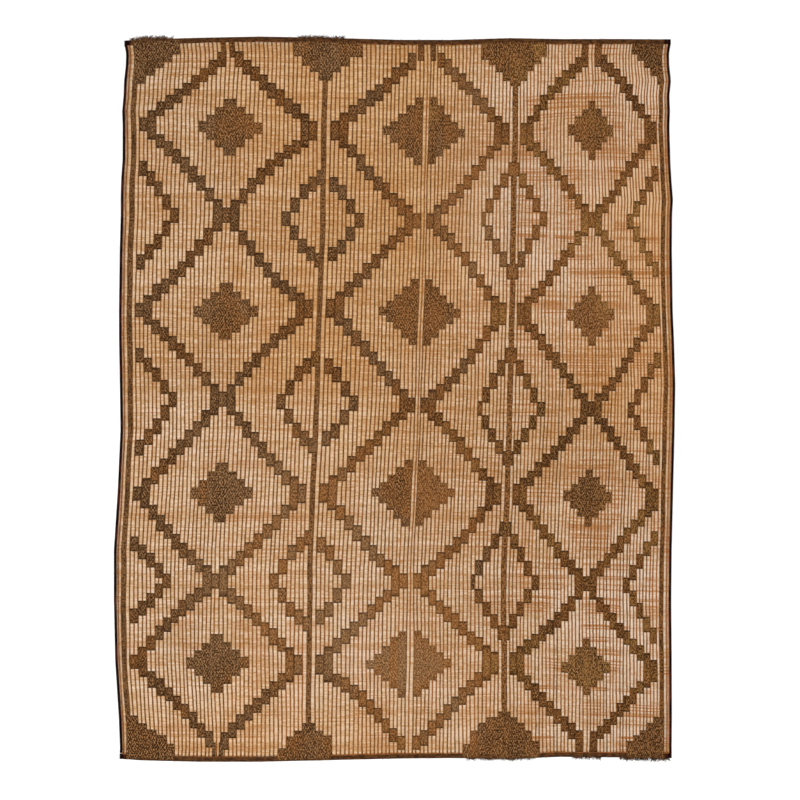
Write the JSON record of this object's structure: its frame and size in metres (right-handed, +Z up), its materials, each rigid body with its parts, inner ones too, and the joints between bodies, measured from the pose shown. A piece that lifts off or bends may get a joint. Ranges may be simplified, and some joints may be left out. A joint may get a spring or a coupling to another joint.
{
  "type": "tuareg mat of reeds and leather",
  "caption": "Large flat floor mat of fine reeds bound by leather thongs, with woven leather diamonds, leather bands, edges and frayed ends.",
  "frame": {"origin": "middle of the mat's outline, fringe included, on the surface it lies on", "axes": "+Z up out of the patterned face, +Y along the mat's length towards its top end, +X across it along the reeds"},
  "size_m": [2.112, 2.742, 0.005],
  "materials": {
    "reed": "dry split reed, pale tan, satin",
    "pattern_leather": "woven brown leather strips with fine reed lines, matt",
    "thong_leather": "narrow rust-brown thongs, matt",
    "band_leather": "plaited dark brown leather, matt, worn",
    "edge_leather": "folded near-black leather with a red thread, matt",
    "strand_leather": "frayed thong ends, dry, matt"
  },
  "bodies": {
    "root": {"woven_sheet": "reed", "band_top": "band_leather", "band_bottom": "band_leather", "edge_left": "edge_leather", "edge_right": "edge_leather", "fringe_top_left": "strand_leather", "fringe_top_middle": "strand_leather", "fringe_bottom_middle": "strand_leather", "fringe_bottom_short": "strand_leather", "fringe_bottom_right": "strand_leather"}
  },
  "joints": []
}
